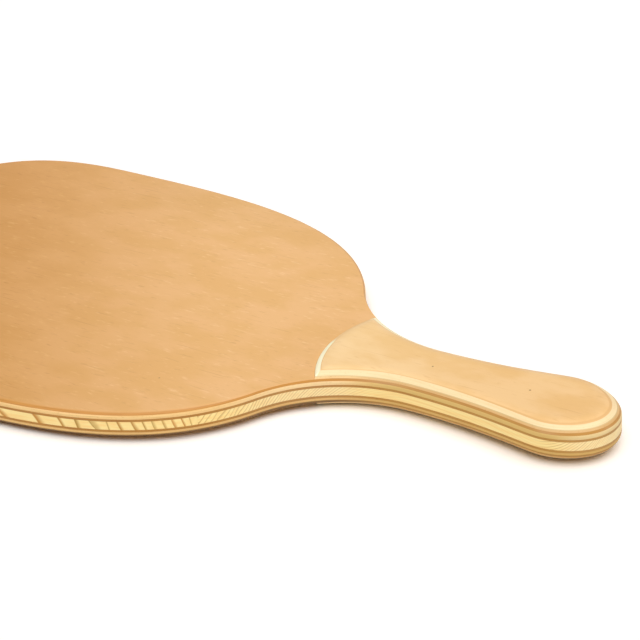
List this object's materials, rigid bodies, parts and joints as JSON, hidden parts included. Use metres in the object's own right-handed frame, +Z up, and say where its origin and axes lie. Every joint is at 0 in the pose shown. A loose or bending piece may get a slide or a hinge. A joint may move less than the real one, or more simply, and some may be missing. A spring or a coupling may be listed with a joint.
{
  "type": "frescobol racket",
  "caption": "Wooden beach racket: a broad rounded plywood blade drawn into a short handle, with a rounded three-ply scale glued on each side of the handle.",
  "frame": {"origin": "under the middle of the racket's length and width, on the plane of the lower handle scale's face", "axes": "+X along the racket from the head's tip to the butt of the handle, +Y across it, +Z up through the plies"},
  "size_m": [0.47, 0.23, 0.0208],
  "materials": {
    "face_veneer": "satin clear lacquer over fine straight-grained tan veneer",
    "cross_ply": "sanded and lacquered ply edge, pale",
    "inner_veneer": "sanded and lacquered ply edge, brown",
    "core": "sanded and lacquered pale softwood with growth rings",
    "scale_veneer": "satin clear lacquer over fine straight-grained pale tan veneer",
    "scale_core": "sanded and lacquered rounded edge, cream"
  },
  "bodies": {
    "root": {"core_board_centre": "core", "core_board_right": "core", "core_board_left": "core", "inner_veneer_top": "inner_veneer", "inner_veneer_bottom": "inner_veneer", "cross_ply_top": "cross_ply", "cross_ply_bottom": "cross_ply", "face_veneer_top": "face_veneer", "face_veneer_bottom": "face_veneer", "scale_inner_veneer_top": "scale_veneer", "scale_core_top": "scale_core", "scale_face_veneer_top": "scale_veneer", "scale_inner_veneer_bottom": "scale_veneer", "scale_core_bottom": "scale_core", "scale_face_veneer_bottom": "scale_veneer"}
  },
  "joints": []
}
